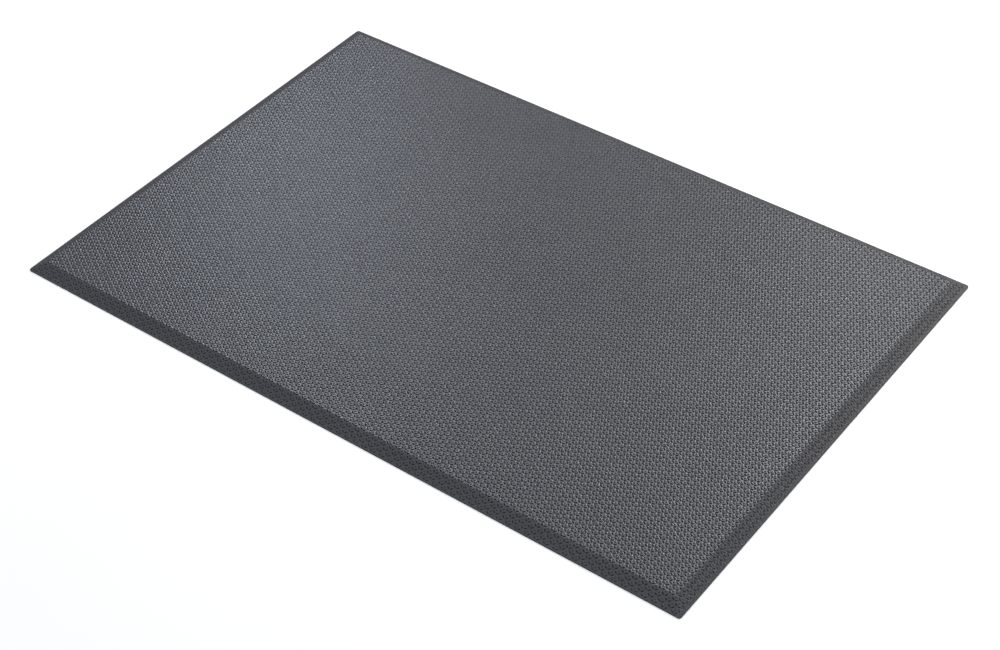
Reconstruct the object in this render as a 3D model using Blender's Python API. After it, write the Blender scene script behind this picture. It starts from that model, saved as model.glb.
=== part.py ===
"""Anti fatigue mat: a laminated standing mat whose layers are bonded together and pressed down to a thin rim.

Units are metres. +Z is up, +X runs along the long side, and the origin is the centre of the underside.
Every layer is a stack of rounded rectangles. A station of a layer's section is an inset, which is the
distance in from the mat's outer edge, and a height above the floor.
"""

import math

import bmesh
import bpy
from mathutils import Vector

# The whole mat
MAT_LENGTH = 0.900
MAT_WIDTH = 0.600
MAT_HEIGHT = 0.0105
BEVEL_WIDTH = 0.0155
RIM_HEIGHT = 0.0017
RIM_CORNER_RADIUS = 0.003
CREST_CORNER_RADIUS = 0.0015
CREST_ROUND = 0.004
RIM_ROUND = 0.0004

# The layers, from the floor up
BACKING_THICKNESS = 0.0006
FILM_THICKNESS = 0.0003
WEAR_THICKNESS = 0.0015
LAP_WIDTH = 0.0035  # flange of the wear layer that is welded straight to the backing
INNER_SETBACK = 0.001  # how far the wear layer's inner crest lies inside its outer crest
GAP = 0.0003  # clearance between touching layers

# Smoothness of the round stretches
CORNER_STEPS = 12
CREST_STEPS = 8
RIM_STEPS = 3
SHARP_ANGLE = math.radians(25)

# Heights and insets that follow from the sizes above
BACKING_TOP = BACKING_THICKNESS
FLANGE_UNDERSIDE = BACKING_TOP + GAP
LOWER_FILM_BOTTOM = BACKING_TOP + GAP
LOWER_FILM_TOP = LOWER_FILM_BOTTOM + FILM_THICKNESS
CORE_BOTTOM = LOWER_FILM_TOP + GAP
WEAR_INNER_TOP = MAT_HEIGHT - WEAR_THICKNESS
FILM_OUTER_DEPTH = GAP
FILM_INNER_DEPTH = FILM_OUTER_DEPTH + FILM_THICKNESS
CORE_DEPTH = FILM_INNER_DEPTH + GAP
INNER_FOOT = Vector((LAP_WIDTH, FLANGE_UNDERSIDE))
INNER_CREST = Vector((BEVEL_WIDTH + INNER_SETBACK, WEAR_INNER_TOP))


def clear_scene():
    for obj in list(bpy.data.objects):
        bpy.data.objects.remove(obj, do_unlink=True)


def plain_material(name, colour, roughness):
    material = bpy.data.materials.new(name)
    material.use_nodes = True
    shader = material.node_tree.nodes["Principled BSDF"]
    shader.inputs["Base Color"].default_value = (*colour, 1.0)
    shader.inputs["Roughness"].default_value = roughness
    shader.inputs["Metallic"].default_value = 0.0
    material.diffuse_color = (*colour, 1.0)
    return material


def wear_vinyl():
    return plain_material("wear_vinyl", (0.075, 0.078, 0.088), 0.5)


def bonding_film():
    return plain_material("bonding_film", (0.62, 0.60, 0.52), 0.35)


def cushion_foam():
    return plain_material("cushion_foam", (0.035, 0.035, 0.038), 0.95)


def grip_rubber():
    return plain_material("grip_rubber", (0.022, 0.022, 0.024), 0.75)


def corner_radius(inset):
    """Plan radius of the corners at this inset: round at the rim, and nearly sharp from the crest inwards."""
    share = min(inset / BEVEL_WIDTH, 1.0)
    return RIM_CORNER_RADIUS + (CREST_CORNER_RADIUS - RIM_CORNER_RADIUS) * share


def outline(inset, height):
    """The rounded rectangle at this inset, anticlockwise from where the +X side meets its +Y corner."""
    radius = corner_radius(inset)
    centre_x = MAT_LENGTH / 2 - inset - radius
    centre_y = MAT_WIDTH / 2 - inset - radius
    points = []
    for quarter, (side_x, side_y) in enumerate(((1, 1), (-1, 1), (-1, -1), (1, -1))):
        for step in range(CORNER_STEPS + 1):
            angle = math.pi / 2 * (quarter + step / CORNER_STEPS)
            x = side_x * centre_x + radius * math.cos(angle)
            y = side_y * centre_y + radius * math.sin(angle)
            points.append((x, y, height))
    return points


def rounded(before, corner, after, radius, steps):
    """The arc that rounds a section's corner, as stations from the side of before to the side of after."""
    towards_before = (before - corner).normalized()
    towards_after = (after - corner).normalized()
    half_angle = towards_before.angle(towards_after) / 2
    middle = (towards_before + towards_after).normalized()
    centre = corner + middle * (radius / math.sin(half_angle))
    first = corner + towards_before * (radius / math.tan(half_angle)) - centre
    last = corner + towards_after * (radius / math.tan(half_angle)) - centre
    stations = []
    for step in range(steps + 1):
        spoke = first.lerp(last, step / steps).normalized()
        stations.append(centre + spoke * radius)
    return stations


def inner_slope_station(height, depth):
    """Where a face that lies depth below the wear layer's inner slope reaches this height."""
    along = (INNER_CREST - INNER_FOOT).normalized()
    below = Vector((along.y, -along.x))
    foot = INNER_FOOT + below * depth
    return foot + along * ((height - foot.y) / along.y)


def layer(name, stations, material):
    """One closed body: a loop at each station, joined to the next, with the first and the last one filled."""
    mesh = bpy.data.meshes.new(name)
    body = bmesh.new()
    loops = [[body.verts.new(point) for point in outline(*station)] for station in stations]
    body.faces.new(loops[0])
    body.faces.new(reversed(loops[-1]))
    for upper, lower in zip(loops, loops[1:]):
        for here in range(len(upper)):
            ahead = (here + 1) % len(upper)
            body.faces.new((upper[here], lower[here], lower[ahead], upper[ahead]))
    bmesh.ops.recalc_face_normals(body, faces=body.faces)
    body.to_mesh(mesh)
    body.free()
    mesh.materials.append(material)
    mesh.shade_smooth()
    mesh.set_sharp_from_angle(angle=SHARP_ANGLE)
    node = bpy.data.objects.new(name, mesh)
    bpy.context.scene.collection.objects.link(node)
    return node


def make_grip_backing():
    """The flat sheet under everything, as large as the mat, with its outer edge eased."""
    top = Vector((0.0, BACKING_TOP))
    eased = RIM_ROUND / 2
    stations = [
        Vector((eased, BACKING_TOP)),
        top - Vector((0.0, eased)),
        Vector((0.0, eased)),
        Vector((eased, 0.0)),
    ]
    return layer("grip_backing", stations, grip_rubber())


def make_lower_bond_film():
    stations = [
        inner_slope_station(LOWER_FILM_TOP, CORE_DEPTH),
        inner_slope_station(LOWER_FILM_BOTTOM, CORE_DEPTH),
    ]
    return layer("lower_bond_film", stations, bonding_film())


def make_foam_core():
    """The cushion: a slab whose sides slope as the bevel does."""
    top = MAT_HEIGHT - WEAR_THICKNESS - CORE_DEPTH
    crest = inner_slope_station(top, CORE_DEPTH)
    foot = inner_slope_station(CORE_BOTTOM, CORE_DEPTH)
    inside = crest + Vector((BEVEL_WIDTH, 0.0))
    stations = rounded(inside, crest, foot, CREST_ROUND / 2, CREST_STEPS) + [foot]
    return layer("foam_core", stations, cushion_foam())


def make_upper_bond_film():
    """A thin tray, upside down, that follows the top and the sloping sides of the core."""
    outer_crest = inner_slope_station(WEAR_INNER_TOP - FILM_OUTER_DEPTH, FILM_OUTER_DEPTH)
    outer_foot = inner_slope_station(CORE_BOTTOM, FILM_OUTER_DEPTH)
    inner_foot = inner_slope_station(CORE_BOTTOM, FILM_INNER_DEPTH)
    inner_crest = inner_slope_station(WEAR_INNER_TOP - FILM_INNER_DEPTH, FILM_INNER_DEPTH)
    return layer("upper_bond_film", [outer_crest, outer_foot, inner_foot, inner_crest], bonding_film())


def make_wear_layer():
    """The top skin: flat over the field, down the bevel, and out to the welded flange at the rim."""
    crest = Vector((BEVEL_WIDTH, MAT_HEIGHT))
    rim = Vector((0.0, RIM_HEIGHT))
    inside = crest + Vector((BEVEL_WIDTH, 0.0))
    foot = Vector((0.0, FLANGE_UNDERSIDE))
    stations = rounded(inside, crest, rim, CREST_ROUND, CREST_STEPS)
    stations += rounded(crest, rim, foot, RIM_ROUND, RIM_STEPS)
    stations += [foot, INNER_FOOT, INNER_CREST]
    return layer("wear_layer", stations, wear_vinyl())


def main():
    clear_scene()
    make_grip_backing()
    make_lower_bond_film()
    make_foam_core()
    make_upper_bond_film()
    make_wear_layer()


main()
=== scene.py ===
"""Looks of the anti fatigue mat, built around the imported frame.

Units are metres, +Z is up, X runs along the mat, and the origin is the centre of the underside.
An inset is a distance in from the mat's outer edge.
"""

import math

import bmesh
import bpy
import numpy as np
from mathutils import Matrix, Vector


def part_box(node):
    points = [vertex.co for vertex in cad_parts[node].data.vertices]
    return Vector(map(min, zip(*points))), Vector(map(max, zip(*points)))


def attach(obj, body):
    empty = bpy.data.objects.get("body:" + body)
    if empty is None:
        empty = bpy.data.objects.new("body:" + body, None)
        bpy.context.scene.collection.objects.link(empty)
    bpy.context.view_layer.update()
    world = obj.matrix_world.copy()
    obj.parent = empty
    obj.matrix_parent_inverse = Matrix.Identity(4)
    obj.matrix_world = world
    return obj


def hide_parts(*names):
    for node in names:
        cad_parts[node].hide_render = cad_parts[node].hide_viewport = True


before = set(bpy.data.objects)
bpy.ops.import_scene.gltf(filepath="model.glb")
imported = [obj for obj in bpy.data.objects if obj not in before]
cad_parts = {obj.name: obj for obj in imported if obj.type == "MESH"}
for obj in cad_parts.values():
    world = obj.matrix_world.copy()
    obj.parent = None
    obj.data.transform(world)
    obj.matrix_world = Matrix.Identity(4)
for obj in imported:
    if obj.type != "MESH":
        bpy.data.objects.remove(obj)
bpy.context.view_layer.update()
MM = 0.001

# The mat's outline and edge, which the CAD solids share
HALF_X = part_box("wear_layer")[1].x
HALF_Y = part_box("wear_layer")[1].y
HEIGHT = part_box("wear_layer")[1].z
FLANGE_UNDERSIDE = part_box("wear_layer")[0].z
BACKING_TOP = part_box("grip_backing")[1].z
CORE_LOW, CORE_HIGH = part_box("foam_core")
BEVEL_WIDTH = 15.5 * MM
RIM_HEIGHT = 1.7 * MM
RIM_CORNER_RADIUS = 3 * MM
CREST_CORNER_RADIUS = 1.5 * MM
CREST_ROUND = 4 * MM
RIM_ROUND = 0.4 * MM
RIM_STEPS = 3
LAP_WIDTH = 3.5 * MM
INNER_CREST_INSET = 16.5 * MM
WEAR_INNER_TOP = 9.0 * MM
CORNER_STEPS = 12
CORNER_REACH = 18 * MM

# Tolerances, and how far from a cut a cell of a pattern is left whole
CUT_WITHIN = 1e-7
WELD_WITHIN = 1e-6
SLIVER = 0.004 * MM  # cuts that leave points nearer than this are closed up
CUT_MARGIN = 1.5  # counted in the cell's own reach

# The tread: lozenge pads that share their sides, with a short slot along the lower part of each side, so that
# two slots make a V under every pad. Each pad has a raised ring round a shallow dimple.
TREAD_PITCH = 6.8 * MM  # the side of a lozenge, and its height across Y
TREAD_HALF_WIDTH = TREAD_PITCH * math.cos(math.radians(30))
TREAD_DEPTH = 1.2 * MM
SLOT_FLOOR_FROM = 1.2 * MM  # along the lozenge's side, from its lower end
SLOT_FLOOR_TO = 3.5 * MM
SLOT_HALF_WIDTH = 0.76 * MM
SLOT_END_RUN = 0.5 * MM  # how far the slot's ends lie beyond its floor
CROWN = (  # the +X half of the raised ring, from its lower end to its upper end
    (0.0, -1.8 * MM),
    (2.0 * MM, -0.85 * MM),
    (2.9 * MM, 0.05 * MM),
    (1.7 * MM, 1.0 * MM),
    (0.0, 1.9 * MM),
)
# The +X half of the edge of the pad's dimple
DIMPLE = ((0.0, -0.8 * MM), (0.8 * MM, -0.4 * MM), (0.8 * MM, 0.4 * MM), (0.0, 0.8 * MM))
RING_FALL = 0.4  # share of the dimple's drop that is reached at its edge
CROSSING_DROP = 0.16  # drops below the crown, as shares of the depth
SLOT_RIM_DROP = 0.1
SLOT_END_DROP = 0.14
DIMPLE_DROP = 0.5
BEVEL_RELIEF_AT_CREST = 0.8  # shares of the tread's depth that are left on the bevel
BEVEL_RELIEF_AT_RIM = 0.55
RELIEF_ENDS_AT = 0.5 * MM
RELIEF_FULL_AT = 2.5 * MM

# The grip pattern underneath: square pads set cornerwise
GRIP_PITCH = 9 * MM
GRIP_DEPTH = 0.3 * MM
GRIP_RINGS = ((1.0, 1.0), (0.84, 0.9), (0.78, 0.0))  # size and depth of each square, as shares

# The core: a slab with sloping sides, and the faint waves that slicing leaves on foam
CORE_PITCH = 10 * MM
CORE_WAVE = 0.06 * MM
CORE_WAVE_LENGTH = 37 * MM
CORE_ROUND = 2 * MM
CORE_ROUND_STEPS = 4

# The camera: the point that it looks at, and how far and in which direction from there it stands
CAMERA_AIM = Vector((0.0538, -0.0595, 0.0))
CAMERA_DISTANCE = 2.3311
CAMERA_AZIMUTH = math.radians(37.864)
CAMERA_ELEVATION = math.radians(41.961)
CAMERA_ROLL = math.radians(-1.716)
CAMERA_LENS = 74.915  # in millimetres, as Blender has it
CAMERA_SENSOR = 36

# The floor, the sky, and the softboxes round the mat, with their angles in degrees
FLOOR_REACH = 12.0  # from the middle to each side
FLOOR_SEGMENTS = 8
SKY_COLOUR = (0.95, 0.97, 1.0, 1.0)
SKY_STRENGTH = 0.18
SOFTBOXES = (
    # name, azimuth, elevation, distance, width, depth, watts, colour, shows in reflections
    ("overhead_fill", 0, 90, 4.0, 5.0, 4.0, 172, (0.96, 0.98, 1.0), False),
    ("left_softbox", 230, 37, 3.0, 0.5, 0.5, 16, (0.82, 0.91, 1.0), True),
    ("back_softbox", 190, 46, 3.0, 0.5, 0.5, 21, (0.98, 0.98, 1.0), True),
    ("edge_softbox", 140.7, 29.6, 2.354, 0.4, 0.3, 3.8, (1.0, 0.93, 0.80), True),
    ("warm_side", 149, 11.3, 0.868, 0.3, 0.15, 3.0, (1.0, 0.93, 0.80), False),
)

# Colours, as linear red, green and blue. A pair is the two tones that a pattern runs between.
VINYL_TONES = ((0.064, 0.065, 0.074), (0.073, 0.074, 0.083))
MOTTLE_COLOUR = (0.036, 0.037, 0.042)
# Painted highlight: a paler tone laid on the tops of the pads, where the lamps' sheen falls
CROWN_HIGHLIGHT_COLOUR = (0.092, 0.094, 0.108)
# Painted shade: a near-black tone laid into the slots, where they lie in shade
SLOT_SHADE_COLOUR = (0.004, 0.004, 0.005)
GRIP_TONES = ((0.020, 0.020, 0.022), (0.030, 0.030, 0.032))
# Painted shade: a darker tone laid into the grooves between the grip pads
GRIP_GROOVE_SHADE_COLOUR = (0.012, 0.012, 0.013)
FILM_TONES = ((0.56, 0.54, 0.46), (0.68, 0.66, 0.58))
FOAM_TONES = ((0.014, 0.014, 0.016), (0.046, 0.046, 0.050))
FLOOR_TONES = ((0.89, 0.89, 0.89), (0.91, 0.91, 0.91))

# Roughness, from the smoothest patch to the roughest
VINYL_ROUGHNESS = (0.24, 0.34)
GRIP_ROUGHNESS = (0.66, 0.82)
FILM_ROUGHNESS = (0.28, 0.46)
FOAM_ROUGHNESS = (0.88, 0.98)
FLOOR_ROUGHNESS = 0.9
FLOOR_SPECULAR = 0.1

# How much of each look shows where. A groove runs from 0 at the top of the relief to 1 at its full depth, and
# the bevel from 0 on the field to 1 at the rim.
WHOLE = (0.0, 1.0)
MOST_NOISE = (0.3, 0.7)  # the range that most of a noise's values lie in
CLOUD_NOISE = (0.35, 0.65)
BEVEL_BLEND = (0.0, 0.3)
MOTTLE_SHARE = (0.35, 0.7)
# Painted highlight on the tops of the pads: the groove depths it fades out over, and how much of it shows
# there
CROWN_GROOVES = (0.0, 0.12)
CROWN_HIGHLIGHT_SHARE = (0.3, 0.0)
# Painted shade in the slots: the groove depths it grows over, how much of it shows there, and how much is
# left from the field down to the rim
SLOT_GROOVES = (0.14, 0.34)
SLOT_SHARE = (0.0, 0.98)
SLOT_SHARE_DOWN_BEVEL = (1.0, 0.8)
# Painted shade in the grip grooves: the groove depths it grows over, and how much of it shows there
GRIP_GROOVES = (0.2, 0.9)
GRIP_GROOVE_SHADE_SHARE = (0.0, 0.7)
FOAM_PORES = (0.0, 0.6)
NOISE_ROUGHNESS = 0.55

# The colour sockets of a Mix node, by number, because their names repeat
MIX_SHARE, MIX_FIRST, MIX_SECOND, MIX_RESULT = 0, 6, 7, 2


# ---------------------------------------------------------------- the shape of the mat

BEVEL_SLOPE = math.atan2(HEIGHT - RIM_HEIGHT, BEVEL_WIDTH)
CREST_REACH = CREST_ROUND * math.tan(BEVEL_SLOPE / 2)
CREST_STARTS_AT = BEVEL_WIDTH + CREST_REACH - CREST_ROUND * math.sin(BEVEL_SLOPE)
FIELD_STARTS_AT = BEVEL_WIDTH + CREST_REACH
RIM_REACH = RIM_ROUND / math.tan((math.pi / 2 + BEVEL_SLOPE) / 2)
TRIM_INSET = RIM_REACH * math.cos(BEVEL_SLOPE)
RADIUS_LOSS = (RIM_CORNER_RADIUS - CREST_CORNER_RADIUS) / BEVEL_WIDTH


def corner_radius(inset):
    return max(RIM_CORNER_RADIUS - RADIUS_LOSS * inset, CREST_CORNER_RADIUS)


def corner_centre(inset):
    """How far in from both sides the centre of the corner arc at this inset lies."""
    return inset + corner_radius(inset)


def inset_of(x, y):
    """How far in from the rim each point lies, counted along the bevel's own rounded rectangles."""
    dx = HALF_X - np.abs(x)
    dy = HALF_Y - np.abs(y)
    inset = np.minimum(dx, dy)
    # The arc through a point has an inset that solves a * inset**2 + b * inset + c = 0, because its centre
    # moves in with the inset, and its radius shrinks
    move = 1 - RADIUS_LOSS
    a = 2 * move**2 - RADIUS_LOSS**2
    b = 2 * move * (2 * RIM_CORNER_RADIUS - dx - dy) + 2 * RADIUS_LOSS * RIM_CORNER_RADIUS
    c = (RIM_CORNER_RADIUS - dx) ** 2 + (RIM_CORNER_RADIUS - dy) ** 2 - RIM_CORNER_RADIUS**2
    inside = np.sqrt(np.maximum(b * b - 4 * a * c, 0))
    on_arc = (-b + inside) / (2 * a)
    centre = RIM_CORNER_RADIUS + move * on_arc
    rounded = (dx < centre) & (dy < centre) & (on_arc < BEVEL_WIDTH)
    return np.where(rounded, on_arc, inset)


def skin_height(inset):
    """Height of the wear layer's outer face, with no relief on it."""
    slope = RIM_HEIGHT + math.tan(BEVEL_SLOPE) * inset
    back = np.clip(FIELD_STARTS_AT - inset, 0, CREST_ROUND)
    arc = HEIGHT - CREST_ROUND + np.sqrt(CREST_ROUND**2 - back**2)
    return np.where(inset >= CREST_STARTS_AT, arc, slope)


def tread_share(inset):
    """How much of the tread's depth is left: all of it on the field, less down the bevel, none at the rim."""
    down = np.clip((FIELD_STARTS_AT - inset) / FIELD_STARTS_AT, 0, 1)
    bevel = BEVEL_RELIEF_AT_CREST + (BEVEL_RELIEF_AT_RIM - BEVEL_RELIEF_AT_CREST) * down
    step = np.clip((inset - CREST_STARTS_AT) / (FIELD_STARTS_AT - CREST_STARTS_AT), 0, 1)
    share = bevel + (1 - bevel) * step
    return share * np.clip((inset - RELIEF_ENDS_AT) / (RELIEF_FULL_AT - RELIEF_ENDS_AT), 0, 1)


# ---------------------------------------------------------------- meshes as plain arrays


class Faces:
    """Points, and faces of any number of corners, as flat arrays."""

    def __init__(self, points, corners, counts):
        self.points = points
        self.corners = corners
        self.counts = counts

    @staticmethod
    def of(points, *blocks):
        """From points and blocks of faces, each block an array with one row for each face."""
        corners = np.concatenate([block.ravel() for block in blocks])
        counts = np.concatenate([np.full(len(block), block.shape[1]) for block in blocks])
        return Faces(points, corners, counts)

    def joined(self, other):
        points = np.concatenate([self.points, other.points])
        corners = np.concatenate([self.corners, other.corners + len(self.points)])
        return Faces(points, corners, np.concatenate([self.counts, other.counts]))

    def welded(self):
        """Points at one place made one. They are compared as the 32-bit numbers that a mesh would hold."""
        places = self.points[:, :2].astype(np.float32).astype(float)
        keys = np.round(places / WELD_WITHIN).astype(np.int64)
        _, first, index = np.unique(keys, axis=0, return_index=True, return_inverse=True)
        return Faces(self.points[first], index.reshape(-1)[self.corners], self.counts)

    def mesh(self, name):
        mesh = bpy.data.meshes.new(name)
        mesh.vertices.add(len(self.points))
        mesh.vertices.foreach_set("co", self.points.astype(np.float32).ravel())
        mesh.loops.add(len(self.corners))
        mesh.loops.foreach_set("vertex_index", self.corners.astype(np.int32))
        mesh.polygons.add(len(self.counts))
        starts = np.concatenate([[0], np.cumsum(self.counts)[:-1]])
        mesh.polygons.foreach_set("loop_start", starts.astype(np.int32))
        mesh.update(calc_edges=True)
        mesh.validate()
        return mesh

    @staticmethod
    def from_bmesh(body):
        body.verts.index_update()
        points = np.array([vert.co[:] for vert in body.verts])
        corners = np.array([vert.index for face in body.faces for vert in face.verts])
        counts = np.array([len(face.verts) for face in body.faces])
        return Faces(points, corners, counts)


class Cell:
    """One unit of a pattern: points about its own centre, with heights as shares of the depth, and faces."""

    def __init__(self):
        self.points = []
        self.faces = []

    def square(self, reach, height):
        """Adds the corners of a square that stands on one of them, and returns their numbers."""
        first = len(self.points)
        for quarter in range(4):
            angle = math.pi / 2 * quarter
            self.points.append((reach * math.cos(angle), reach * math.sin(angle), height))
        return list(range(first, len(self.points)))

    def add(self, place, height):
        self.points.append((place.x, place.y, height))
        return len(self.points) - 1

    def bridge(self, outer, inner):
        for here in range(len(outer)):
            ahead = (here + 1) % len(outer)
            self.faces.append((outer[here], outer[ahead], inner[ahead], inner[here]))

    def mirrored(self):
        """This cell, which is the +X half of a whole one, with its mirror image added."""
        whole = Cell()
        whole.points = self.points + [(-x, y, height) for x, y, height in self.points]
        count = len(self.points)
        whole.faces = self.faces + [tuple(point + count for point in reversed(face)) for face in self.faces]
        return whole

    def fan(self, ring, height):
        middle = len(self.points)
        self.points.append((0.0, 0.0, height))
        for here in range(len(ring)):
            self.faces.append((ring[here], ring[(here + 1) % len(ring)], middle))

    def repeated(self, centres):
        """The cell at each centre, with the points along shared edges welded."""
        points = np.array(self.points)
        placed = np.repeat(points[None], len(centres), axis=0)
        placed[:, :, :2] += centres[:, None]
        offsets = (np.arange(len(centres)) * len(points))[:, None, None]
        blocks = []
        for size in (3, 4):
            faces = np.array([face for face in self.faces if len(face) == size], int).reshape(-1, size)
            blocks.append((faces[None] + offsets).reshape(-1, size))
        return Faces.of(placed.reshape(-1, 3), *blocks).welded()


def tread_side(cell, low, high):
    """One side of a lozenge, with the half of its slot that lies to the left of the way from low to high.

    Returns four points of the slot's rim: its low end, both ends of its long edge, and its high end.
    """
    along = (high - low).normalized()
    rim = Vector((-along.y, along.x)) * SLOT_HALF_WIDTH
    floor_low = low + along * SLOT_FLOOR_FROM
    floor_high = low + along * SLOT_FLOOR_TO
    end_low = cell.add(floor_low - along * SLOT_END_RUN, -SLOT_END_DROP)
    end_high = cell.add(floor_high + along * SLOT_END_RUN, -SLOT_END_DROP)
    rim_low = cell.add(floor_low + rim, -SLOT_RIM_DROP)
    rim_high = cell.add(floor_high + rim, -SLOT_RIM_DROP)
    low_point = cell.add(floor_low, -1.0)
    high_point = cell.add(floor_high, -1.0)
    cell.faces.append((low_point, high_point, rim_high, rim_low))
    cell.faces.append((end_low, low_point, rim_low))
    cell.faces.append((high_point, end_high, rim_high))
    return end_low, rim_low, rim_high, end_high


def tread_cell():
    """A lozenge pad: slots on its four sides, a raised ring, and a dimple in the middle."""
    cell = Cell()
    low_corner = Vector((0.0, -TREAD_PITCH / 2))
    right_corner = Vector((TREAD_HALF_WIDTH, 0.0))
    low, right, top = (cell.add(corner, -CROSSING_DROP) for corner in (low_corner, right_corner, -low_corner))
    end_low, rim_low, rim_high, end_high = tread_side(cell, low_corner, right_corner)
    side_low, flank_low, flank_high, side_high = tread_side(cell, right_corner, -low_corner)
    crown = [cell.add(Vector(place), 0.0) for place in CROWN]
    dimple = [cell.add(Vector(place), -RING_FALL * DIMPLE_DROP) for place in DIMPLE]
    middle = cell.add(Vector((0.0, 0.0)), -DIMPLE_DROP)
    cell.faces += [
        (low, end_low, rim_low),
        (low, rim_low, crown[0]),
        (rim_low, rim_high, crown[1], crown[0]),
        (rim_high, end_high, right),
        (rim_high, right, flank_low),
        (rim_high, flank_low, crown[2]),
        (rim_high, crown[2], crown[1]),
        (right, side_low, flank_low),
        (flank_low, flank_high, crown[3], crown[2]),
        (flank_high, side_high, top),
        (flank_high, top, crown[4]),
        (flank_high, crown[4], crown[3]),
        (crown[0], crown[1], dimple[1], dimple[0]),
        (crown[1], crown[2], dimple[1]),
        (crown[2], dimple[2], dimple[1]),
        (crown[2], crown[3], dimple[2]),
        (crown[3], crown[4], dimple[3], dimple[2]),
        (dimple[0], dimple[1], middle),
        (dimple[1], dimple[2], middle),
        (dimple[2], dimple[3], middle),
    ]
    return cell.mirrored()


def grip_cell():
    """A square pad with sloping sides, and its share of the groove round it. Its heights count downwards."""
    half = GRIP_PITCH / math.sqrt(2)
    cell = Cell()
    rings = [cell.square(half * size, depth) for size, depth in GRIP_RINGS]
    for outer, inner in zip(rings, rings[1:]):
        cell.bridge(outer, inner)
    cell.fan(rings[-1], 0.0)
    return cell


def staggered(across, up):
    """Centres of a pattern in which every other column is half a step higher, enough to cover the mat."""
    columns = math.ceil(HALF_X / across) + 1
    rows = math.ceil(HALF_Y / up) + 1
    centres = [
        (column * across, (row + 0.5 * (column % 2)) * up)
        for column in range(-columns, columns + 1)
        for row in range(-rows, rows + 1)
    ]
    return np.array(centres)


def squares(pitch):
    """Centres of a grid of squares that stand on their corners."""
    half = pitch / math.sqrt(2)
    return staggered(half, 2 * half)


def cut(body, point, normal, near=None, reach=0.0, clear=False):
    """Cuts faces along an upright plane. With near, only those within reach of that point.

    Edges and points are listed in the faces' order, so that every run gives the same mesh.
    """
    faces = body.faces[:]
    if near is not None:
        faces = [face for face in faces if (face.calc_center_median().xy - near).length < reach]
    edges = dict.fromkeys(edge for face in faces for edge in face.edges)
    verts = dict.fromkeys(vert for face in faces for vert in face.verts)
    bmesh.ops.bisect_plane(
        body,
        geom=faces + list(edges) + list(verts),
        dist=CUT_WITHIN,
        plane_co=(*point, 0.0),
        plane_no=(*normal, 0.0),
        clear_outer=clear,
    )


def trimmed(pattern, inset, crease_insets):
    """The pattern cut off along the outline at this inset, and cut through where the mat's face bends."""
    body = bmesh.new()
    scratch = pattern.mesh("scratch")
    body.from_mesh(scratch)
    bpy.data.meshes.remove(scratch)
    bmesh.ops.scale(body, vec=(1, 1, MM), verts=body.verts)  # heights are shares, and would count as metres
    sides = (((1, 0), HALF_X), ((-1, 0), HALF_X), ((0, 1), HALF_Y), ((0, -1), HALF_Y))
    for normal, half in sides:
        edge = Vector(normal) * (half - inset)
        cut(body, edge, normal, clear=True)
        for crease in crease_insets:
            cut(body, Vector(normal) * (half - crease), normal)
    for side_x in (1, -1):
        for side_y in (1, -1):
            trim_corner(body, inset, Vector((side_x, side_y)), bool(crease_insets))
    bmesh.ops.remove_doubles(body, verts=body.verts, dist=SLIVER)
    loose = [vert for vert in body.verts if not vert.link_faces]
    bmesh.ops.delete(body, geom=loose, context="VERTS")
    bmesh.ops.scale(body, vec=(1, 1, 1 / MM), verts=body.verts)
    result = Faces.from_bmesh(body)
    body.free()
    return result


def trim_corner(body, inset, side, mitred):
    """Rounds the pattern off at one corner, and cuts it along the corner's mitre."""
    outer = Vector((side.x * HALF_X, side.y * HALF_Y))
    radius = corner_radius(inset)
    centre = outer - side * corner_centre(inset)
    for step in range(CORNER_STEPS):
        first, last = (math.pi / 2 * (step + k) / CORNER_STEPS for k in (0, 1))
        start = centre + Vector((side.x * math.cos(first), side.y * math.sin(first))) * radius
        middle = (first + last) / 2
        normal = Vector((side.x * math.cos(middle), side.y * math.sin(middle)))
        cut(body, start, normal, near=outer, reach=CORNER_REACH, clear=True)
    if mitred:
        across = Vector((side.x, -side.y)).normalized()
        cut(body, outer, across, near=outer, reach=2 * BEVEL_WIDTH)


def covering(cell, centres, inset, crease_insets):
    """The whole pattern, trimmed to the outline: only the cells near it are cut."""
    reach = np.abs(np.array(cell.points)[:, :2]).max()
    margin = max([inset, *crease_insets]) + CUT_MARGIN * reach
    from_edge = np.minimum(HALF_X - np.abs(centres[:, 0]), HALF_Y - np.abs(centres[:, 1]))
    inner = cell.repeated(centres[from_edge >= margin])
    border = cell.repeated(centres[from_edge < margin])
    return inner.joined(trimmed(border, inset, crease_insets)).welded()


def open_edge(faces):
    """The points on the pattern's edge, in order anticlockwise."""
    ends = np.roll(faces.corners, -1)
    lasts = np.cumsum(faces.counts) - 1
    ends[lasts] = faces.corners[np.concatenate([[0], lasts[:-1] + 1])]
    following = {}
    pairs = set(zip(faces.corners.tolist(), ends.tolist()))
    for start, end in pairs:
        if (end, start) not in pairs:
            following[start] = end
    loop = [next(iter(following))]
    while len(loop) < len(following):
        loop.append(following[loop[-1]])
    return np.array(loop)


class Outline:
    """Places on the outline at one inset, which can be read off again at any other inset."""

    def __init__(self, points, inset):
        centre = corner_centre(inset)
        self.side = np.sign(points[:, :2])
        over = np.abs(points[:, :2]) - np.array([HALF_X - centre, HALF_Y - centre])
        self.in_corner = (over > 0).all(1)
        self.on_end = ~self.in_corner & (over[:, 0] > over[:, 1])
        self.angle = np.arctan2(over[:, 1], over[:, 0])
        self.along = points[:, :2] / np.array([HALF_X - centre, HALF_Y - centre])

    def at(self, inset, height):
        centre = corner_centre(inset)
        radius = corner_radius(inset)
        inner = np.array([HALF_X - centre, HALF_Y - centre])
        spoke = np.stack([np.cos(self.angle), np.sin(self.angle)], 1) * radius
        corner = self.side * (inner + spoke)
        end = np.stack([self.side[:, 0] * (inner[0] + radius), self.along[:, 1] * inner[1]], 1)
        long_side = np.stack([self.along[:, 0] * inner[0], self.side[:, 1] * (inner[1] + radius)], 1)
        xy = np.where(self.in_corner[:, None], corner, np.where(self.on_end[:, None], end, long_side))
        return np.column_stack([xy, np.full(len(xy), height)])


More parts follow.
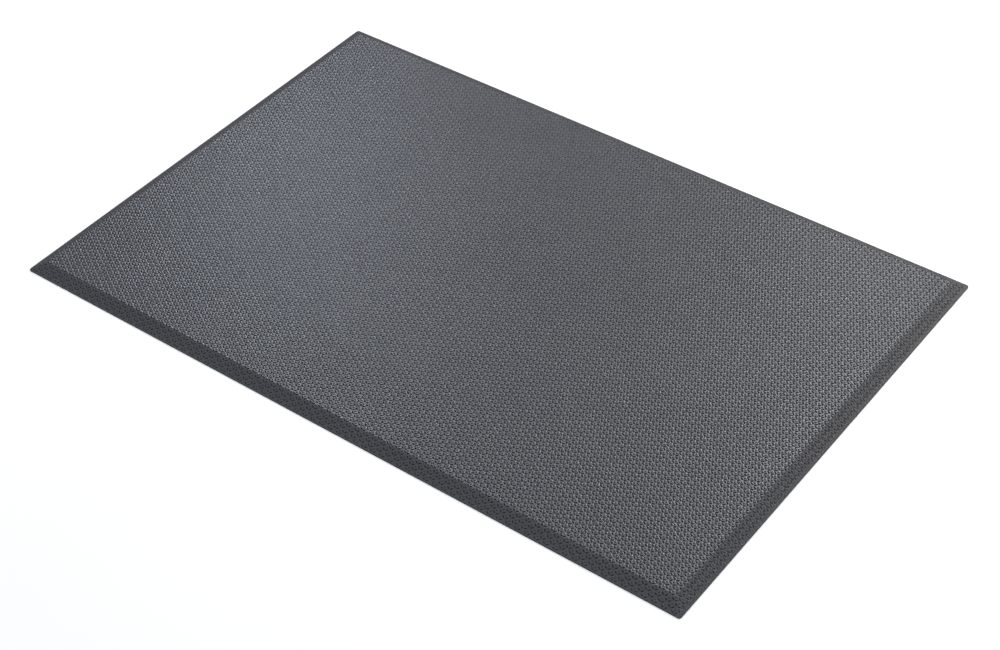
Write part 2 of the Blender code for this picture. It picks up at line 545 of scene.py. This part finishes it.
def closed_sheet(name, pattern, inset, stations):
    """One closed body: the shaped pattern, rings at the stations down from its edge, and one face at the end.

    Its mesh has the pattern's points first, and then those of the rings.
    """
    edge = open_edge(pattern)
    outline = Outline(pattern.points[edge], inset)
    points = [pattern.points]
    rings = [edge]
    total = len(pattern.points)
    for station in stations:
        points.append(outline.at(*station))
        rings.append(np.arange(total, total + len(edge)))
        total += len(edge)
    corners, counts = [pattern.corners], [pattern.counts]
    for upper, lower in zip(rings, rings[1:]):
        quads = np.stack([np.roll(upper, -1), upper, lower, np.roll(lower, -1)], 1)
        corners.append(quads.ravel())
        counts.append(np.full(len(quads), 4))
    corners.append(rings[-1][::-1])
    counts.append(np.array([len(edge)]))
    faces = Faces(np.concatenate(points), np.concatenate(corners), np.concatenate(counts))
    piece = bpy.data.objects.new(name, faces.mesh(name))
    bpy.context.scene.collection.objects.link(piece)
    return piece


def point_values(mesh, name, values, beyond):
    """Stores a number at each point: these values first, and the number beyond at all points after them."""
    full = np.full(len(mesh.vertices), beyond, np.float32)
    full[: len(values)] = values
    attribute = mesh.attributes.new(name, "FLOAT", "POINT")
    attribute.data.foreach_set("value", full)


# ---------------------------------------------------------------- the pieces


def make_wear_layer():
    """The embossed skin: tread on the field and the bevels, a rounded rim, the flange and the inner face."""
    creases = (CREST_STARTS_AT, (CREST_STARTS_AT + FIELD_STARTS_AT) / 2, FIELD_STARTS_AT)
    pattern = covering(tread_cell(), staggered(TREAD_HALF_WIDTH, TREAD_PITCH), TRIM_INSET, creases)
    relief = pattern.points[:, 2].copy()
    inset = inset_of(pattern.points[:, 0], pattern.points[:, 1])
    share = tread_share(inset)
    pattern.points[:, 2] = skin_height(inset) + relief * share * TREAD_DEPTH
    stations = []
    for step in range(1, RIM_STEPS + 1):
        turn = (math.pi / 2 - BEVEL_SLOPE) * step / RIM_STEPS + BEVEL_SLOPE
        out = RIM_ROUND * (1 - math.sin(turn))
        up = RIM_HEIGHT - RIM_REACH + RIM_ROUND * math.cos(turn)
        stations.append((out, up))
    stations += [(0.0, FLANGE_UNDERSIDE), (LAP_WIDTH, FLANGE_UNDERSIDE), (INNER_CREST_INSET, WEAR_INNER_TOP)]
    piece = closed_sheet("wear_layer_embossed", pattern, TRIM_INSET, stations)
    point_values(piece.data, "groove", -relief * np.sqrt(share), beyond=0)
    point_values(piece.data, "bevel", 1 - np.clip(inset / FIELD_STARTS_AT, 0, 1), beyond=1)
    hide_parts("wear_layer")
    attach(piece, "root")
    return piece


def make_grip_backing():
    """The backing sheet, with a cornerwise grid of pads pressed into its underside.

    It is built with the pads on top, and then turned over.
    """
    eased = RIM_ROUND / 2
    pattern = covering(grip_cell(), squares(GRIP_PITCH), eased, ())
    inset = inset_of(pattern.points[:, 0], pattern.points[:, 1])
    share = np.clip((inset - RELIEF_FULL_AT) / RELIEF_FULL_AT, 0, 1)
    groove = pattern.points[:, 2] * share
    pattern.points[:, 2] = -groove * GRIP_DEPTH
    stations = [(0.0, -eased), (0.0, eased - BACKING_TOP), (eased, -BACKING_TOP)]
    piece = closed_sheet("grip_backing_ribbed", pattern, eased, stations)
    piece.data.transform(Matrix.Scale(-1, 4, (0, 0, 1)))
    piece.data.flip_normals()
    point_values(piece.data, "groove", groove, beyond=0)
    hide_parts("grip_backing")
    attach(piece, "root")
    return piece


def core_cell():
    """A flat square, which only gives the core's top enough points to be wavy."""
    cell = Cell()
    cell.fan(cell.square(CORE_PITCH / math.sqrt(2), 0.0), 0.0)
    return cell


def make_foam_core():
    """The foam slab: a faintly wavy top, rounded over into its sloping sides, and a flat underside."""
    slope = math.atan2(WEAR_INNER_TOP - FLANGE_UNDERSIDE, INNER_CREST_INSET - LAP_WIDTH)
    foot = HALF_X - CORE_HIGH.x
    crest = foot + (CORE_HIGH.z - CORE_LOW.z) / math.tan(slope)
    top_ends_at = crest + CORE_ROUND * math.tan(slope / 2)
    pattern = covering(core_cell(), squares(CORE_PITCH), top_ends_at, ())
    inset = inset_of(pattern.points[:, 0], pattern.points[:, 1])
    phase = pattern.points[:, :2] * (2 * math.pi / CORE_WAVE_LENGTH)
    wave = np.sin(phase[:, 0]) * np.cos(phase[:, 1]) - 1
    pattern.points[:, 2] = CORE_HIGH.z + CORE_WAVE * wave * np.clip((inset - top_ends_at) / BEVEL_WIDTH, 0, 1)
    stations = []
    for step in range(1, CORE_ROUND_STEPS + 1):
        turn = slope * step / CORE_ROUND_STEPS
        back = top_ends_at - CORE_ROUND * math.sin(turn)
        stations.append((back, CORE_HIGH.z - CORE_ROUND * (1 - math.cos(turn))))
    stations.append((foot, CORE_LOW.z))
    piece = closed_sheet("foam_core_slab", pattern, top_ends_at, stations)
    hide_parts("foam_core")
    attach(piece, "root")
    return piece


# ---------------------------------------------------------------- materials


class Nodes:
    """A material's node tree, with a short way to add and wire its nodes."""

    def __init__(self, name):
        self.material = bpy.data.materials.new(name)
        self.material.use_nodes = True
        self.tree = self.material.node_tree
        self.shader = self.tree.nodes["Principled BSDF"]
        self.place = self.add("ShaderNodeTexCoord").outputs["Object"]

    def add(self, kind, **settings):
        node = self.tree.nodes.new(kind)
        for name, value in settings.items():
            setattr(node, name, value)
        return node

    def link(self, source, target):
        self.tree.links.new(source, target)

    def noise(self, size, detail):
        """Noise whose patches are about this big."""
        node = self.add("ShaderNodeTexNoise")
        node.inputs["Scale"].default_value = 1 / size
        node.inputs["Detail"].default_value = detail
        node.inputs["Roughness"].default_value = NOISE_ROUGHNESS
        self.link(self.place, node.inputs["Vector"])
        return node.outputs["Fac"]

    def patches(self, size, detail, ends):
        """The same noise, spread out so that its patches run from the first of the ends to the second."""
        return self.ramp(self.noise(size, detail), MOST_NOISE, ends)

    def cells(self, size):
        """Distance from the middle of the nearest cell, in cells about this big."""
        node = self.add("ShaderNodeTexVoronoi")
        node.inputs["Scale"].default_value = 1 / size
        self.link(self.place, node.inputs["Vector"])
        return node.outputs["Distance"]

    def attribute(self, name):
        return self.add("ShaderNodeAttribute", attribute_name=name).outputs["Fac"]

    def ramp(self, value, source, target):
        """The source's range mapped onto the target's, and held at the target's ends beyond it."""
        node = self.add("ShaderNodeMapRange")
        for name, number in zip(("From Min", "From Max", "To Min", "To Max"), source + target):
            node.inputs[name].default_value = number
        self.link(value, node.inputs["Value"])
        return node.outputs["Result"]

    def math(self, operation, first, second):
        node = self.add("ShaderNodeMath", operation=operation)
        for socket, value in zip(node.inputs, (first, second)):
            self.link(value, socket)
        return node.outputs["Value"]

    def mix(self, share, first, second):
        node = self.add("ShaderNodeMix", data_type="RGBA")
        for number, value in ((MIX_SHARE, share), (MIX_FIRST, first), (MIX_SECOND, second)):
            if isinstance(value, tuple):
                node.inputs[number].default_value = (*value, 1.0)
            else:
                self.link(value, node.inputs[number])
        return node.outputs[MIX_RESULT]

    def bump(self, height, distance, strength, under=None):
        node = self.add("ShaderNodeBump")
        node.inputs["Strength"].default_value = strength
        node.inputs["Distance"].default_value = distance
        self.link(height, node.inputs["Height"])
        if under is not None:
            self.link(under, node.inputs["Normal"])
        return node.outputs["Normal"]

    def finish(self, colour=None, roughness=None, normal=None):
        for name, value in (("Base Color", colour), ("Roughness", roughness), ("Normal", normal)):
            if value is not None:
                self.link(value, self.shader.inputs[name])
        return self.material


def wear_vinyl():
    """Slate vinyl: faintly clouded, with painted shade that makes it nearly black in the slots, and a painted
    highlight that makes the tops of the pads paler.

    It has a fine leather grain all over, and its mottling and creases are strongest on the bevels.
    """
    nodes = Nodes("wear_vinyl")
    depth = nodes.attribute("groove")
    bevel = nodes.ramp(nodes.attribute("bevel"), BEVEL_BLEND, WHOLE)
    cloud = nodes.ramp(nodes.noise(size=160 * MM, detail=3), CLOUD_NOISE, WHOLE)
    mottle = nodes.patches(size=2.2 * MM, detail=5, ends=WHOLE)
    mottle = nodes.math("MULTIPLY", mottle, nodes.ramp(bevel, WHOLE, MOTTLE_SHARE))
    # Painted highlight: the tops of the pads are made paler
    crown = nodes.ramp(depth, CROWN_GROOVES, CROWN_HIGHLIGHT_SHARE)
    # Painted shade: the slots are made nearly black, less so down the bevel, and the same mask makes them
    # rougher too
    slot = nodes.ramp(depth, SLOT_GROOVES, SLOT_SHARE)
    slot = nodes.math("MULTIPLY", slot, nodes.ramp(bevel, WHOLE, SLOT_SHARE_DOWN_BEVEL))
    colour = nodes.mix(cloud, *VINYL_TONES)
    for share, tone in ((mottle, MOTTLE_COLOUR), (crown, CROWN_HIGHLIGHT_COLOUR), (slot, SLOT_SHADE_COLOUR)):
        colour = nodes.mix(share, colour, tone)
    rough = nodes.patches(size=4 * MM, detail=4, ends=VINYL_ROUGHNESS)
    rough = nodes.math("MAXIMUM", rough, slot)
    grain = nodes.bump(nodes.noise(size=0.6 * MM, detail=3), distance=0.04 * MM, strength=0.6)
    grain = nodes.bump(nodes.cells(size=0.9 * MM), distance=0.05 * MM, strength=0.5, under=grain)
    creases = nodes.math("MULTIPLY", nodes.noise(size=1.8 * MM, detail=2), bevel)
    grain = nodes.bump(creases, distance=0.5 * MM, strength=0.8, under=grain)
    return nodes.finish(colour, rough, grain)


def grip_rubber():
    """Matt black rubber, mottled, with painted shade that makes it darker in the grooves between the pads."""
    nodes = Nodes("grip_rubber")
    colour = nodes.mix(nodes.patches(size=3 * MM, detail=5, ends=WHOLE), *GRIP_TONES)
    # Painted shade: the grooves between the pads are made darker
    groove = nodes.ramp(nodes.attribute("groove"), GRIP_GROOVES, GRIP_GROOVE_SHADE_SHARE)
    colour = nodes.mix(groove, colour, GRIP_GROOVE_SHADE_COLOUR)
    rough = nodes.patches(size=5 * MM, detail=4, ends=GRIP_ROUGHNESS)
    grain = nodes.bump(nodes.noise(size=0.5 * MM, detail=3), distance=0.05 * MM, strength=0.8)
    return nodes.finish(colour, rough, grain)


def bonding_film():
    """Milky adhesive film, unevenly spread."""
    nodes = Nodes("bonding_film")
    colour = nodes.mix(nodes.patches(size=6 * MM, detail=6, ends=WHOLE), *FILM_TONES)
    rough = nodes.patches(size=2 * MM, detail=4, ends=FILM_ROUGHNESS)
    grain = nodes.bump(nodes.noise(size=1.2 * MM, detail=4), distance=0.03 * MM, strength=0.6)
    return nodes.finish(colour, rough, grain)


def cushion_foam():
    """Black foam with fine closed pores."""
    nodes = Nodes("cushion_foam")
    pores = nodes.cells(size=0.8 * MM)
    colour = nodes.mix(nodes.ramp(pores, FOAM_PORES, WHOLE), *FOAM_TONES)
    rough = nodes.patches(size=3 * MM, detail=3, ends=FOAM_ROUGHNESS)
    grain = nodes.bump(pores, distance=0.2 * MM, strength=0.8)
    return nodes.finish(colour, rough, grain)


def floor_paper():
    nodes = Nodes("floor_paper")
    colour = nodes.mix(nodes.patches(size=500 * MM, detail=2, ends=WHOLE), *FLOOR_TONES)
    nodes.shader.inputs["Roughness"].default_value = FLOOR_ROUGHNESS
    nodes.shader.inputs["Specular IOR Level"].default_value = FLOOR_SPECULAR
    return nodes.finish(colour)


def dress(piece, material):
    piece.data.materials.clear()
    piece.data.materials.append(material)


# ---------------------------------------------------------------- floor, light and camera


def make_floor():
    body = bmesh.new()
    bmesh.ops.create_grid(body, x_segments=FLOOR_SEGMENTS, y_segments=FLOOR_SEGMENTS, size=FLOOR_REACH)
    mesh = bpy.data.meshes.new("floor")
    body.to_mesh(mesh)
    body.free()
    floor = bpy.data.objects.new("floor", mesh)
    bpy.context.scene.collection.objects.link(floor)
    dress(floor, floor_paper())
    floor.visible_glossy = False


def orbit(azimuth, elevation):
    """The direction from the mat towards a place round it: azimuth 0 is in front of it, at -Y."""
    level = math.cos(elevation)
    return Vector((math.sin(azimuth) * level, -math.cos(azimuth) * level, math.sin(elevation)))


def make_softbox(name, azimuth, elevation, distance, width, depth, watts, colour, glossy):
    """An area light that faces the mat's middle. Its angles are in degrees."""
    light = bpy.data.lights.new(name, "AREA")
    light.shape = "RECTANGLE"
    light.size = width
    light.size_y = depth
    light.energy = watts
    light.color = colour
    lamp = bpy.data.objects.new(name, light)
    direction = orbit(math.radians(azimuth), math.radians(elevation))
    lamp.location = direction * distance
    lamp.rotation_mode = "QUATERNION"
    lamp.rotation_quaternion = direction.to_track_quat("Z", "Y")
    lamp.visible_glossy = glossy
    lamp.visible_camera = False
    bpy.context.scene.collection.objects.link(lamp)


def make_light():
    world = bpy.data.worlds.new("studio")
    world.use_nodes = True
    sky = world.node_tree.nodes["Background"]
    sky.inputs["Color"].default_value = SKY_COLOUR
    sky.inputs["Strength"].default_value = SKY_STRENGTH
    bpy.context.scene.world = world
    for softbox in SOFTBOXES:
        make_softbox(*softbox)


def make_camera():
    data = bpy.data.cameras.new("camera")
    data.lens = CAMERA_LENS
    data.sensor_width = CAMERA_SENSOR
    camera = bpy.data.objects.new("camera", data)
    back = orbit(CAMERA_AZIMUTH, CAMERA_ELEVATION)
    level = Vector((0, 0, 1)).cross(back).normalized()
    right = level * math.cos(CAMERA_ROLL) + back.cross(level) * math.sin(CAMERA_ROLL)
    up = back.cross(right)
    turn = Matrix((right, up, back)).transposed()
    camera.matrix_world = Matrix.Translation(CAMERA_AIM + back * CAMERA_DISTANCE) @ turn.to_4x4()
    bpy.context.scene.collection.objects.link(camera)
    bpy.context.scene.camera = camera


# ---------------------------------------------------------------- the whole scene

dress(make_wear_layer(), wear_vinyl())
dress(make_grip_backing(), grip_rubber())
dress(make_foam_core(), cushion_foam())
film = bonding_film()
for node in ("upper_bond_film", "lower_bond_film"):
    dress(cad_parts[node], film)
make_floor()
make_light()
make_camera()
bpy.context.scene.view_settings.view_transform = "Standard"
